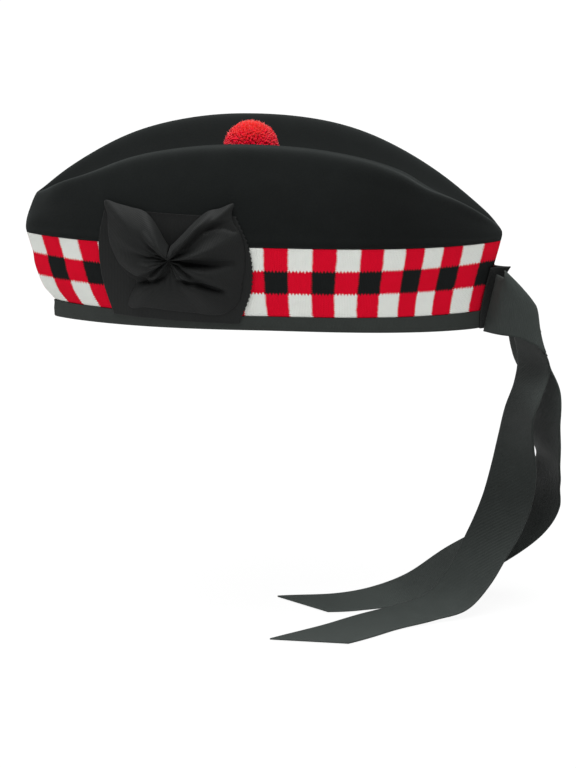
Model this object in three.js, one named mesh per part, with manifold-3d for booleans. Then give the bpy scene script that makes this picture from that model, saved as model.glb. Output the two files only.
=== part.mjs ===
import * as THREE from 'three';
import { ParametricGeometry } from 'three/addons/geometries/ParametricGeometry.js';
import { mergeVertices } from 'three/addons/utils/BufferGeometryUtils.js';
import Module from 'manifold-3d';

// Glengarry: a felted wool cap with two top ridges, a diced band, a bound edge, a ribbon cockade,
// a pompom and two ribbon tails. Sizes are millimetres, angles degrees unless a name says radians.
// The front points to -X, the wearer's left is -Y and +Z is up.
// The origin is the middle of the head opening, level with the lower edge at the sides.

// Driving dimensions
const FELT = 2.5;
const KNIT = 2.5;
const RIBBON = 1.0;
const GAP = 0.4;
const BAND_FOOT = 10;
const BAND_TOP = 54;
const BINDING_FACE = 0.65;
const RIDGE = 112;
const VALLEY = 173;
const PLAN_FULLNESS = 2.4;
const CREST = -0.07;
const TIP_SPREAD = 1.3;
const ROUND_STEPS = 72;
const TAIL_WIDTH = 36;
const FOLD_SLANT = 0.64;
const TOORIE_RADIUS = 17;
const TOORIE_CENTRE = new THREE.Vector3(-10, 0, 100.6);

const BLACK_FELT = { color: 0x1d1f1f, roughness: 0.95, metalness: 0 };
const DICED_KNIT = { color: 0xcb0e26, roughness: 0.9, metalness: 0 };
const BLACK_RIBBON = { color: 0x303432, roughness: 0.7, metalness: 0 };
const RED_WOOL = { color: 0xe01e28, roughness: 0.95, metalness: 0 };

// The cap wall, one row per level from the lower edge over the ridge to the bottom of the crease.
// at: length up the side wall; front, back: ends of the level on X; half: half width;
// tip: sharpness of the ends in plan; zFront, zSide, zBack: heights at the ends and the sides;
// sag: how late the height turns from the side to the end; lift: share of an offset that goes up.
const LEVELS = [
  { at: 0, front: -123.5, back: 132, half: 52, tip: 0.9,
    zFront: -6, zSide: 0, zBack: -8.5, sag: 2, lift: 0 },
  { at: 10, front: -129, back: 132.5, half: 54, tip: 0.9,
    zFront: 5, zSide: 9.7, zBack: 3, sag: 2, lift: 0 },
  { at: 54, front: -145, back: 142, half: 62, tip: 0.88,
    zFront: 46.2, zSide: 53, zBack: 46, sag: 2, lift: 0 },
  { at: 67, front: -145.5, back: 142.6, half: 63, tip: 0.86,
    zFront: 52, zSide: 66, zBack: 49.5, sag: 2, lift: 0 },
  { at: 100, front: -142, back: 141.2, half: 57.5, tip: 0.8,
    zFront: 65, zSide: 98, zBack: 54, sag: 2.2, lift: 0.25 },
  { at: 115, front: -139, back: 139.3, half: 50, tip: 0.74,
    zFront: 71, zSide: 111.6, zBack: 56.3, sag: 2.25, lift: 0.8 },
  { at: 143, front: -136, back: 137, half: 25, tip: 0.76,
    zFront: 70, zSide: 94.5, zBack: 55.8, sag: 2.3, lift: 1 },
  { at: 173, front: -133, back: 134, half: 0, tip: 0.8,
    zFront: 69, zSide: 82, zBack: 55, sag: 2.4, lift: 1 },
];

// The bow, one row per fold round its pinch, from the right lobe's top edge clockwise to the left's.
// angle: direction of the fold; reach: length from the pinch; rise: ridge above or valley below the puff.
const BOW_FOLDS = [
  { angle: 54, reach: 36, rise: 1.5 },
  { angle: 46.5, reach: 44.5, rise: 1 },
  { angle: 43.3, reach: 51, rise: 0.5 },
  { angle: 39.5, reach: 47, rise: -1 },
  { angle: 34, reach: 44.5, rise: -2.2 },
  { angle: 21, reach: 45, rise: 2.6 },
  { angle: 1, reach: 44.3, rise: -3.6 },
  { angle: -17, reach: 45, rise: 2.2 },
  { angle: -31, reach: 48, rise: -1.6 },
  { angle: -44, reach: 47, rise: 0.4 },
  { angle: -65, reach: 37, rise: -1.8 },
  { angle: -90, reach: 33, rise: -2.4 },
  { angle: -114, reach: 35.5, rise: -1.8 },
  { angle: -126, reach: 40.5, rise: 1.2 },
  { angle: -138, reach: 26, rise: -3.6 },
  { angle: -152, reach: 27.5, rise: 1.4 },
  { angle: -166, reach: 30, rise: 2.4 },
  { angle: -180, reach: 32.8, rise: 0.6 },
  { angle: -190, reach: 35.8, rise: -0.5 },
  { angle: -203, reach: 39.7, rise: 1.2 },
  { angle: -212, reach: 43.4, rise: 0.8 },
  { angle: -219, reach: 49.5, rise: 0.4 },
  { angle: -224, reach: 43.5, rise: 0.8 },
  { angle: -231, reach: 37.3, rise: 1.2 },
  { angle: -243, reach: 27.5, rise: 2 },
];
const BOW_PINCH = { x: -56.6, z: 44.9 };
const BOW_PUFF = 5;
const BOW_SEAT = 2.9;

// The square of ribbon under the bow: left and right edges at heights up the wall.
const COCKADE_EDGES = [
  { z: 5, left: -90, right: -15 },
  { z: 28, left: -97, right: -8 },
  { z: 52, left: -99, right: -9.5 },
  { z: 72, left: -96, right: -18 },
];

// The tails, one row per place on the middle line. edge: direction to the ribbon's upper edge;
// belly: how far the middle bulges to the back past a straight line between the edges.
const TAIL_NEAR = [
  { x: 136.5, y: -3.6, z: 8, edgeX: 0.2, edgeY: 0, edgeZ: 0.98, belly: 0 },
  { x: 143, y: -11.5, z: 8, edgeX: 0, edgeY: 0, edgeZ: 1, belly: 0 },
  { x: 152, y: -13.5, z: 7, edgeX: -0.36, edgeY: 0, edgeZ: 0.93, belly: 3 },
  { x: 158, y: -11.5, z: 4.5, edgeX: -0.46, edgeY: 0, edgeZ: 0.89, belly: 8 },
  { x: 159.2, y: -4.5, z: -2.5, edgeX: -0.44, edgeY: 0.1, edgeZ: 0.88, belly: 8 },
  { x: 160.6, y: 2, z: -14, edgeX: -0.6, edgeY: 0.54, edgeZ: 0.45, belly: 2 },
  { x: 164.6, y: 4, z: -32, edgeX: -0.53, edgeY: 0.85, edgeZ: 0.06, belly: 0 },
  { x: 161.4, y: 3, z: -47, edgeX: -0.43, edgeY: 0.9, edgeZ: 0, belly: 0 },
  { x: 156.4, y: 2.5, z: -63, edgeX: -0.44, edgeY: 0.9, edgeZ: 0, belly: 0 },
  { x: 155, y: 3.5, z: -80, edgeX: -0.56, edgeY: 0.83, edgeZ: 0, belly: 0 },
  { x: 154.2, y: 4.5, z: -98, edgeX: -0.72, edgeY: 0.69, edgeZ: 0, belly: 0 },
  { x: 150.8, y: 5, z: -118, edgeX: -0.8, edgeY: 0.6, edgeZ: 0, belly: 0 },
  { x: 145, y: 3, z: -134, edgeX: -0.8, edgeY: 0.6, edgeZ: 0, belly: 0 },
  { x: 137.5, y: -0.5, z: -148.5, edgeX: -0.76, edgeY: 0.65, edgeZ: 0, belly: 0 },
  { x: 127.5, y: -7.5, z: -165, edgeX: -0.73, edgeY: 0.68, edgeZ: 0, belly: 0 },
  { x: 114, y: -16.5, z: -178.5, edgeX: -0.72, edgeY: 0.7, edgeZ: 0, belly: 0 },
  { x: 94, y: -28, z: -182.5, edgeX: -0.72, edgeY: 0.7, edgeZ: 0, belly: 0 },
  { x: 72, y: -43, z: -184, edgeX: -0.72, edgeY: 0.7, edgeZ: 0, belly: 0 },
  { x: 52, y: -62, z: -184, edgeX: -0.74, edgeY: 0.67, edgeZ: 0, belly: 0 },
  { x: 30, y: -82, z: -184, edgeX: -0.98, edgeY: 0.12, edgeZ: 0, belly: 0 },
];
const TAIL_FAR = [
  { x: 132.5, y: 6.2, z: 9, edgeX: 0.2, edgeY: 0, edgeZ: 0.98, belly: 0 },
  { x: 140.5, y: 15.4, z: 9, edgeX: -0.2, edgeY: 0, edgeZ: 0.98, belly: 0 },
  { x: 149, y: 19.2, z: 9, edgeX: -0.58, edgeY: 0, edgeZ: 0.81, belly: 0 },
  { x: 153, y: 21.4, z: 7.4, edgeX: -0.58, edgeY: 0, edgeZ: 0.81, belly: 0 },
  { x: 154, y: 23, z: 2, edgeX: -0.58, edgeY: 0, edgeZ: 0.81, belly: 0 },
  { x: 157.8, y: 21.2, z: -10, edgeX: -0.52, edgeY: 0.5, edgeZ: 0.5, belly: 0 },
  { x: 166, y: 14.5, z: -32, edgeX: -0.54, edgeY: 0.84, edgeZ: 0.06, belly: 0 },
  { x: 171.6, y: 9, z: -50, edgeX: -0.5, edgeY: 0.87, edgeZ: 0, belly: 0 },
  { x: 172.8, y: 9.5, z: -69, edgeX: -0.45, edgeY: 0.89, edgeZ: 0, belly: 0 },
  { x: 175.5, y: 13, z: -90, edgeX: -0.36, edgeY: 0.93, edgeZ: 0, belly: 0 },
  { x: 174.7, y: 17, z: -106, edgeX: -0.46, edgeY: 0.89, edgeZ: 0, belly: 0 },
  { x: 173.5, y: 20, z: -121, edgeX: -0.5, edgeY: 0.86, edgeZ: 0, belly: 0 },
  { x: 165.5, y: 23, z: -136, edgeX: -0.52, edgeY: 0.85, edgeZ: 0.06, belly: 0 },
  { x: 145, y: 25, z: -152.5, edgeX: -0.42, edgeY: 0.86, edgeZ: 0.28, belly: 0 },
  { x: 122, y: 26, z: -165, edgeX: -0.42, edgeY: 0.87, edgeZ: 0.25, belly: 0 },
  { x: 98, y: 24, z: -176.5, edgeX: -0.42, edgeY: 0.9, edgeZ: 0.05, belly: 0 },
  { x: 76, y: 15, z: -183, edgeX: -0.4, edgeY: 0.9, edgeZ: 0.03, belly: 0 },
  { x: 54, y: 5, z: -184, edgeX: -0.45, edgeY: 0.9, edgeZ: 0, belly: 0 },
  { x: 28.5, y: -2.5, z: -184, edgeX: -0.72, edgeY: 0.7, edgeZ: 0, belly: 0 },
];

/** A smooth curve through a table: every column as a function of the first, given key. */
function tableCurve(rows, places, columns) {
  const values = rows.flatMap((row) => columns.map((column) => row[column]));
  const curve = new THREE.CubicInterpolant(places, values, columns.length);
  return (place) => {
    const result = curve.evaluate(place);
    return Object.fromEntries(columns.map((column, index) => [column, result[index]]));
  };
}

const levelAt = tableCurve(LEVELS, LEVELS.map((row) => row.at),
  ['front', 'back', 'half', 'tip', 'zFront', 'zSide', 'zBack', 'sag', 'lift']);

/** Height of a level at a share along the cap, -1 at the front, 1 at the back, highest at the crest. */
function levelHeight(level, along) {
  const behind = along > CREST;
  const end = behind ? level.zBack : level.zFront;
  const share = Math.abs(along - CREST) / (behind ? 1 - CREST : 1 + CREST);
  return level.zSide + (end - level.zSide) * Math.pow(share, level.sag);
}

/** Half width of a level at a share along the cap. */
function levelWidth(level, along, half) {
  const fullness = 1 - Math.pow(Math.abs(along), PLAN_FULLNESS);
  return half * Math.pow(Math.max(fullness, 0), level.tip);
}

/** A point of the cap wall: turn in radians from the back, length up the wall, offset outwards. */
function wallPoint(turn, at, offset, target = new THREE.Vector3()) {
  const level = levelAt(at);
  const along = Math.cos(turn);
  const spread = offset * (1 - level.lift);
  const ends = offset * TIP_SPREAD;
  const middle = (level.front + level.back) / 2;
  const reach = (level.back - level.front) / 2 + ends;
  const half = level.half > 0 ? Math.max(level.half + spread, 0) : 0;
  const side = Math.sign(Math.sin(turn)) * (Math.abs(along) > 1 - 1e-9 ? 0 : 1);
  const z = levelHeight(level, along) + offset * level.lift;
  return target.set(middle + along * reach, side * levelWidth(level, along, half), z);
}

/** The near side wall under a place given by x and z. */
function sidePoint(x, z) {
  let low = 0;
  let high = RIDGE;
  let along = 0;
  let level = levelAt(low);
  const halvings = 40;
  for (let step = 0; step < halvings; step += 1) {
    const at = (low + high) / 2;
    level = levelAt(at);
    along = (2 * x - level.front - level.back) / (level.back - level.front);
    if (levelHeight(level, along) < z) low = at;
    else high = at;
  }
  return new THREE.Vector3(x, -levelWidth(level, along, level.half), z);
}

/** A point that stands off the near side wall by a given height along the wall's normal. */
function aboveSide(x, z, height) {
  const step = 1.5;
  const seat = sidePoint(x, z);
  const acrossWall = sidePoint(x + step, z).sub(sidePoint(x - step, z));
  const upWall = sidePoint(x, z + step).sub(sidePoint(x, z - step));
  const normal = acrossWall.cross(upWall).normalize();
  return seat.addScaledVector(normal, height);
}

/** Welds a parametric surface into one closed body whose faces point out. */
function weld(geometry) {
  geometry.deleteAttribute('normal');
  geometry.deleteAttribute('uv');
  const welded = mergeVertices(geometry, 1e-3);
  const corners = welded.index.array;
  const point = [new THREE.Vector3(), new THREE.Vector3(), new THREE.Vector3()];
  const kept = [];
  let volume = 0;
  for (let index = 0; index < corners.length; index += 3) {
    const [a, b, c] = corners.slice(index, index + 3);
    if (a === b || b === c || a === c) continue;
    kept.push(a, b, c);
    [a, b, c].forEach((corner, place) => {
      point[place].fromBufferAttribute(welded.attributes.position, corner);
    });
    volume += point[0].dot(point[1].cross(point[2]));
  }
  if (volume < 0) kept.reverse();
  welded.setIndex(kept);
  welded.computeVertexNormals();
  return welded;
}

/** A wall carried round the whole cap: a profile of places up the wall and offsets from it. */
function ringWall(profile) {
  const stacks = profile.length - 1;
  const surface = (u, v, target) => {
    const turn = 2 * Math.PI * (Math.round(u * ROUND_STEPS) % ROUND_STEPS) / ROUND_STEPS;
    const row = profile[Math.round(v * stacks)];
    wallPoint(turn, row.at, row.offset, target);
  };
  return weld(new ParametricGeometry(surface, ROUND_STEPS, stacks));
}

/** A patch of cloth: pointAt(u, v, side) with side 1 on its face and -1 on its back, closed all round. */
function slab(pointAt, uSteps, vSteps) {
  const slices = uSteps + 2;
  const stacks = 2 * vSteps + 2;
  const surface = (a, b, target) => {
    const row = Math.round(a * slices);
    const place = Math.round(b * stacks) % stacks;
    const onFace = place <= vSteps;
    const v = onFace ? place / vSteps : (2 * vSteps + 1 - place) / vSteps;
    const u = Math.min(Math.max(row - 1, 0), uSteps) / uSteps;
    const atEnd = row === 0 || row === slices;
    const side = onFace ? 1 : -1;
    target.copy(pointAt(u, v, atEnd ? 0 : side));
  };
  return weld(new ParametricGeometry(surface, slices, stacks));
}

function crownGeometry() {
  const foot = BAND_TOP + GAP;
  const innerSteps = 7;
  const outerSteps = 14;
  const profile = [];
  for (let step = 0; step <= innerSteps; step += 1) {
    profile.push({ at: VALLEY + (foot - VALLEY) * step / innerSteps, offset: -FELT });
  }
  for (let step = 0; step <= outerSteps; step += 1) {
    profile.push({ at: foot + (VALLEY - foot) * step / outerSteps, offset: 0 });
  }
  return ringWall(profile);
}

/** The knitted band, with a thinner foot that goes into the fold of the binding. */
function bandGeometry() {
  const footFace = -0.6;
  const footBack = footFace - 1.3;
  const footEnd = 1.7;
  const middle = (BAND_FOOT + BAND_TOP) / 2;
  return ringWall([
    { at: BAND_FOOT, offset: 0 },
    { at: middle, offset: 0 },
    { at: BAND_TOP, offset: 0 },
    { at: BAND_TOP, offset: -KNIT },
    { at: BAND_FOOT, offset: -KNIT },
    { at: BAND_FOOT, offset: footBack },
    { at: footEnd, offset: footBack },
    { at: footEnd, offset: footFace },
    { at: BAND_FOOT, offset: footFace },
    { at: BAND_FOOT, offset: 0 },
  ]);
}

/** The ribbon folded round the foot of the band, a U in section. */
function bindingGeometry() {
  const ply = 0.9;
  const face = BINDING_FACE;
  const back = -KNIT - BINDING_FACE;
  const innerFace = face - ply;
  const innerBack = back + ply;
  const top = BAND_FOOT - GAP;
  const fold = 1.3;
  const curl = 0.5;
  return ringWall([
    { at: top, offset: face },
    { at: top, offset: innerFace },
    { at: fold, offset: innerFace },
    { at: fold, offset: innerBack },
    { at: top, offset: innerBack },
    { at: top, offset: back },
    { at: 2 * curl, offset: back },
    { at: 0, offset: back + curl },
    { at: 0, offset: face - curl },
    { at: 2 * curl, offset: face },
    { at: top, offset: face },
  ]);
}

function cockadeBaseGeometry() {
  const lowest = COCKADE_EDGES[0].z;
  const highest = COCKADE_EDGES[COCKADE_EDGES.length - 1].z;
  const edgesAt = tableCurve(COCKADE_EDGES, COCKADE_EDGES.map((row) => row.z), ['left', 'right']);
  const seat = BINDING_FACE + GAP;
  return slab((u, v, side) => {
    const z = lowest + (highest - lowest) * v;
    const edges = edgesAt(z);
    return aboveSide(edges.left + (edges.right - edges.left) * u, z, seat + RIBBON * (1 + side) / 2);
  }, 12, 10);
}

/** The pleated bow: folds fan out of the pinch, deep near it and flat at the outer edge. */
function cockadeBowGeometry() {
  const foldAt = tableCurve(BOW_FOLDS, BOW_FOLDS.map((row) => -row.angle), ['reach', 'rise']);
  const first = BOW_FOLDS[0].angle;
  const last = BOW_FOLDS[BOW_FOLDS.length - 1].angle;
  const puffLean = 0.8;
  const pleatLean = 0.6;
  return slab((u, v, side) => {
    const angle = first + (last - first) * u;
    const fold = foldAt(-angle);
    const reach = fold.reach * v;
    const x = BOW_PINCH.x + reach * Math.cos(THREE.MathUtils.degToRad(angle));
    const z = BOW_PINCH.z + reach * Math.sin(THREE.MathUtils.degToRad(angle));
    const puff = BOW_PUFF * Math.sin(Math.PI * Math.pow(v, puffLean));
    const pleat = fold.rise * Math.sin(Math.PI * Math.pow(v, pleatLean));
    const height = BOW_SEAT + Math.max(puff + pleat, 0) + RIBBON * side / 2;
    return aboveSide(x, z, height);
  }, 54, 7);
}

/** The ribbon looped over the back seam, standing off the seam, with its top corner turned out. */
function backTieGeometry() {
  const halfTurn = 0.235;
  const low = 0.2;
  const high = 35;
  const seat = BINDING_FACE + GAP;
  const loop = 3;
  const flare = 3;
  const flareTop = 5;
  const flareMiddle = 2;
  return slab((u, v, side) => {
    const at = low + (high - low) * v;
    const middle = Math.pow(1 - Math.abs(2 * u - 1), flareMiddle);
    const corner = (loop + flare * Math.pow(v, flareTop)) * middle;
    return wallPoint(halfTurn * (2 * u - 1), at, seat + corner + RIBBON * (1 + side) / 2);
  }, 16, 7);
}

/** A ribbon of even width along its middle line; each row's edge direction lies in its face,
 *  and the width runs slantwise across the folds. */
function tailGeometry(rows) {
  const places = [0];
  for (let row = 1; row < rows.length; row += 1) {
    const { x, y, z } = rows[row - 1];
    places.push(places[row - 1] + Math.hypot(rows[row].x - x, rows[row].y - y, rows[row].z - z));
  }
  const rowAt = tableCurve(rows, places, ['x', 'y', 'z', 'edgeX', 'edgeY', 'edgeZ', 'belly']);
  const spans = rows.length - 1;
  const length = places[spans];
  const middleAt = (place) => {
    const row = rowAt(place);
    return new THREE.Vector3(row.x, row.y, row.z);
  };
  return slab((u, v, side) => {
    const step = Math.min(Math.floor(u * spans), spans - 1);
    const place = THREE.MathUtils.lerp(places[step], places[step + 1], u * spans - step);
    const row = rowAt(place);
    const onward = middleAt(Math.min(place + 1, length)).sub(middleAt(Math.max(place - 1, 0))).normalize();
    const edge = new THREE.Vector3(row.edgeX, row.edgeY, row.edgeZ).normalize();
    const across = Math.max(edge.clone().addScaledVector(onward, -edge.dot(onward)).length(), FOLD_SLANT);
    const face = new THREE.Vector3().crossVectors(onward, edge).normalize();
    const point = middleAt(place).addScaledVector(edge, (v - 0.5) * TAIL_WIDTH / across);
    point.x += row.belly * (1 - Math.pow(Math.abs(2 * v - 1), 1.4));
    return point.addScaledVector(face, side * RIBBON / 2);
  }, 3 * spans, 3);
}

/** The pompom: locks of yarn spread evenly over a round head and fused to it. */
async function toorieGeometry() {
  const wasm = await Module();
  wasm.setup();
  const solidOf = (geometry) => {
    const welded = weld(geometry);
    return new wasm.Manifold(new wasm.Mesh({
      numProp: 3,
      vertProperties: Float32Array.from(welded.attributes.position.array),
      triVerts: Uint32Array.from(welded.index.array),
    }));
  };
  const locks = 32;
  const lockRadius = 4.4;
  const headRadius = TOORIE_RADIUS - 1.6;
  const goldenTurn = Math.PI * (3 - Math.sqrt(5));
  let body = solidOf(new THREE.IcosahedronGeometry(headRadius, 2));
  for (let lock = 0; lock < locks; lock += 1) {
    const height = 1 - 2 * (lock + 0.5) / locks;
    const ring = Math.sqrt(1 - height * height);
    const turn = lock * goldenTurn;
    const out = new THREE.Vector3(ring * Math.cos(turn), ring * Math.sin(turn), height);
    const tuft = new THREE.IcosahedronGeometry(lockRadius, 0);
    tuft.rotateX(lock).translate(...out.multiplyScalar(TOORIE_RADIUS - lockRadius).toArray());
    body = body.add(solidOf(tuft));
  }
  const mesh = body.getMesh();
  const geometry = new THREE.BufferGeometry();
  geometry.setAttribute('position', new THREE.BufferAttribute(Float32Array.from(mesh.vertProperties), 3));
  geometry.setIndex(Array.from(mesh.triVerts));
  geometry.computeVertexNormals();
  return geometry;
}

const glengarry = new THREE.Group();

function addPiece(name, geometry, finish) {
  const piece = new THREE.Mesh(geometry, new THREE.MeshStandardMaterial(finish));
  piece.name = name;
  glengarry.add(piece);
  return piece;
}

addPiece('crown', crownGeometry(), BLACK_FELT);
addPiece('diced_band', bandGeometry(), DICED_KNIT);
addPiece('edge_binding', bindingGeometry(), BLACK_RIBBON);
addPiece('cockade_base', cockadeBaseGeometry(), BLACK_RIBBON);
addPiece('cockade_bow', cockadeBowGeometry(), BLACK_RIBBON);
addPiece('back_tie', backTieGeometry(), BLACK_RIBBON);
addPiece('tail_near', tailGeometry(TAIL_NEAR), BLACK_RIBBON);
addPiece('tail_far', tailGeometry(TAIL_FAR), BLACK_RIBBON);
addPiece('toorie', await toorieGeometry(), RED_WOOL).position.copy(TOORIE_CENTRE);

export default glengarry;
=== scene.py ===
"""Glengarry: a felted crown, a diced knit band, a bound edge, a ribbon cockade, a pompom and two tails.

Sizes in the tables are millimetres. The front points to -X, the wearer's left is -Y and +Z is up.
"""
import math

import bpy
import numpy as np
from mathutils import Matrix


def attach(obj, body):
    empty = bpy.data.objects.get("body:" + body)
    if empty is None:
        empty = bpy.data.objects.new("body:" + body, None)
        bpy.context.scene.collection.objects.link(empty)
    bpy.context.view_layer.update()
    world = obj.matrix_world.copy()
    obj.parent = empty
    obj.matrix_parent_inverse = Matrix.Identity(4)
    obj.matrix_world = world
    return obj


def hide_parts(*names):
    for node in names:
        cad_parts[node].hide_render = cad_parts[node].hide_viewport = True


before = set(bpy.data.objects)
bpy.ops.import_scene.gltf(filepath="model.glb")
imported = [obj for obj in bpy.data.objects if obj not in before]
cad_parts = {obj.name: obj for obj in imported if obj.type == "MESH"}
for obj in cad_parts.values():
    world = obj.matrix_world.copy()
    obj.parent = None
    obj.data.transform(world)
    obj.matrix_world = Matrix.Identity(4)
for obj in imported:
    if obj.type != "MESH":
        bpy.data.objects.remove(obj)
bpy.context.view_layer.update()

MM = 0.001
BODY = "root"

# Thicknesses of the cloth and the gap left between neighbouring pieces.
FELT = 2.5
KNIT = 2.5
RIBBON = 0.9
GAP = 0.4

# Lengths up the cap wall: the band's foot and top, the ridges, their painted highlight and the crease's
# floor.
BAND_FOOT = 10.0
BAND_TOP = 54.0
RIDGE = 112.0
RIDGE_HIGHLIGHT = 115.5
VALLEY = 173.0

# How far the binding's face, and ribbon laid over it, stand off the wall.
BINDING_FACE = 0.65
RIBBON_STAND = BINDING_FACE + GAP + 0.5

# The wall's oval: its fullness, where along it the side is highest, and how offsets lengthen the tips.
PLAN_FULLNESS = 2.4
CREST = -0.07
TIP_SPREAD = 1.3

# The tails' ribbon: its width, and how slantwise it may run across a fold.
TAIL_WIDTH = 36.0
FOLD_SLANT = 0.64

TOORIE_RADIUS = 17.0
TOORIE_CENTRE = np.array([-10.0, 0.0, 100.6])

# The cap wall by the length up it: that length, x of the front and the back tip, half width, power of the
# tips, z of the front, the side and the back, power of the sag, and how much an offset lifts.
LEVELS = np.array([
    (0, -123.5, 132, 52, 0.9, -6, 0, -8.5, 2, 0),
    (10, -129, 132.5, 54, 0.9, 5, 9.7, 3, 2, 0),
    (54, -145, 142, 62, 0.88, 46.2, 53, 46, 2, 0),
    (67, -145.5, 142.6, 63, 0.86, 52, 66, 49.5, 2, 0),
    (100, -142, 141.2, 57.5, 0.8, 65, 98, 54, 2.2, 0.25),
    (115, -139, 139.3, 50, 0.74, 71, 111.6, 56.3, 2.25, 0.8),
    (143, -136, 137, 25, 0.76, 70, 94.5, 55.8, 2.3, 1),
    (173, -133, 134, 0, 0.8, 69, 82, 55, 2.4, 1),
])

# How far the band and the binding stray at the front tip: length up the wall, way back (forwards if
# below 0).
FRONT_STRAY = np.array([
    (0, -3.6),
    (5, -1.1),
    (9.6, 1.3),
    (12, 0.3),
    (17, -1.9),
    (25, -2.3),
    (32, -1.8),
    (39, -0.3),
    (46, 0),
    (60, 0),
])

# The bow round its pinch, from the right lobe's top edge clockwise to the left's: angle, reach, rise.
BOW_FOLDS = np.array([
    (85.5, 7.6, 0.5),
    (68.6, 13.3, 1),
    (62, 19.5, 1.3),
    (58, 26.5, 1.4),
    (54, 36, 1.5),
    (46.5, 44.5, 1),
    (43.3, 51, 0.5),
    (39.5, 47, -1),
    (34, 44.5, -2.2),
    (21, 45, 2.6),
    (1, 44.3, -3.6),
    (-17, 45, 2.2),
    (-31, 48, -1.6),
    (-44, 47, 0.4),
    (-65, 37, -1.8),
    (-90, 33, -2.4),
    (-114, 35.5, -1.8),
    (-126, 40.5, 1.2),
    (-138, 26, -3.6),
    (-152, 27.5, 1.4),
    (-166, 30, 2.4),
    (-180, 32.8, 0.6),
    (-190, 35.8, -0.5),
    (-203, 39.7, 1.2),
    (-212, 43.4, 0.8),
    (-219, 49.5, 0.4),
    (-224, 43.5, 0.8),
    (-231, 37.3, 1.2),
    (-243, 29.5, 2),
    (-247, 23.5, 1.8),
    (-249.5, 18.2, 1.6),
    (-254, 12.8, 1.2),
    (-265.5, 7.6, 0.6),
])
BOW_PINCH = (-56.6, 44.9)
BOW_PUFF = 5.0
BOW_SEAT = 2.9

# Sharp folds of the bow: rise (below 0 for a valley), width, and points of the line out from the pinch.
BOW_CREASES = (
    (-4.4, 1.9, ((3.5, -1.9), (14, -0.8), (24, -1.6), (39, -0.6))),
    (-4.2, 1.8, ((5, -11.4), (13.5, -13.2), (21, -14.8), (34, -18.6))),
    (-3.8, 1.9, ((2, 3.8), (11, 11.2), (19, 18.6), (26, 21.8), (33, 22), (40, 19))),
    (2.0, 2.4, ((3, 7), (14, 18), (26, 30))),
    (1.6, 1.5, ((-1, 2), (-6, 9), (-14, 17))),
    (-1.8, 1.2, ((-3.5, 2), (-7, 3.2), (-10, 2.6))),
    (-1.2, 1.2, ((-4, -0.8), (-9, -2), (-13, -1.6))),
    (-4.6, 1.7, ((1, -5), (-3, -10.5), (-11, -14.6), (-19, -14), (-27, -10.5), (-33, -6))),
)

# Soft dents and swells of the felt: turn in degrees from the back, length up the wall, depth, and the
# spreads of the turn and the length.
FELT_DENTS = np.array([
    (-139, 118, -1.2, 12, 9),
    (-152, 106, 1.0, 9, 12),
    (-46, 120, -2.0, 7, 10),
    (-60, 112, 1.3, 12, 8),
    (-28, 108, 1.0, 10, 10),
    (-165, 72, 0.7, 10, 12),
    (-92, 125, 2.8, 34, 6.5),
    (-56, 126, 2.4, 15, 6.5),
    (60, 112, 0.8, 16, 9),
    (100, 90, 0.8, 24, 16),
])

# The square of ribbon under the bow: z, left edge, right edge.
COCKADE_EDGES = np.array([
    (5, -90, -15),
    (28, -97, -8),
    (52, -99, -9.5),
    (72, -96, -18),
])

# The tails, a row per place on the middle line: x, y, z, direction to the upper edge (x, y, z), belly.
TAIL_NEAR = np.array([
    (136.5, -3.6, 8, 0.2, 0, 0.98, 0),
    (143, -11.5, 8, 0, 0, 1, 0),
    (152, -13.5, 7, -0.36, 0, 0.93, 3),
    (157.5, -11.5, 4.5, -0.46, 0, 0.89, 7.5),
    (158.6, -4.5, -2.5, -0.44, 0.1, 0.88, 7.5),
    (160.4, 1, -14, -0.5, 0.62, 0.4, 2),
    (164.3, 4, -32, -0.5, 0.86, 0.06, 0),
    (161.4, 3, -47, -0.43, 0.9, 0, 0),
    (156.4, 2.5, -63, -0.44, 0.9, 0, 0),
    (155, 3.5, -80, -0.56, 0.83, 0, 0),
    (154.2, 4.5, -98, -0.72, 0.69, 0, 0),
    (150.8, 5, -118, -0.8, 0.6, 0, 0),
    (145, 3, -134, -0.8, 0.6, 0, 0),
    (137.5, -0.5, -148.5, -0.76, 0.65, 0, 0),
    (127.5, -7.5, -165, -0.73, 0.68, 0, 0),
    (114, -15, -178.5, -0.72, 0.7, 0, 0),
    (94, -26, -182.5, -0.72, 0.7, 0, 0),
    (72, -41, -184, -0.72, 0.7, 0, 0),
    (52, -62, -184, -0.74, 0.67, 0, 0),
    (30, -82, -184, -0.98, 0.12, 0, 0),
])
TAIL_FAR = np.array([
    (132.5, 6.2, 9, 0.2, 0, 0.98, 0),
    (140.5, 15.4, 9, -0.2, 0, 0.98, 0),
    (149, 19.2, 9, -0.58, 0, 0.81, 0),
    (152.4, 21.4, 7.4, -0.58, 0, 0.81, 0),
    (153, 23, 2, -0.56, 0, 0.83, 0),
    (158, 21.8, -10, -0.44, 0.58, 0.5, 0),
    (163.4, 14.5, -32, -0.54, 0.84, 0.06, 0),
    (171.6, 9, -50, -0.5, 0.87, 0, 0),
    (172.8, 9.5, -69, -0.45, 0.89, 0, 0),
    (173.4, 10.5, -82, -0.46, 0.89, 0, 0),
    (175.5, 13, -95.5, -0.34, 0.94, 0, 0),
    (173.8, 17, -108, -0.46, 0.89, 0, 0),
    (173.5, 20, -121, -0.5, 0.86, 0, 0),
    (165.5, 23, -136, -0.52, 0.85, 0.06, 0),
    (145, 25, -152.5, -0.42, 0.86, 0.28, 0),
    (122, 24, -165, -0.42, 0.87, 0.25, 0),
    (98, 16.5, -176.5, -0.42, 0.9, 0.05, 0),
    (76, 9.5, -183, -0.4, 0.9, 0.03, 0),
    (54, -0.5, -184, -0.45, 0.9, 0, 0),
    (26, -6.5, -184, -0.72, 0.7, 0, 0),
])
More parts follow.
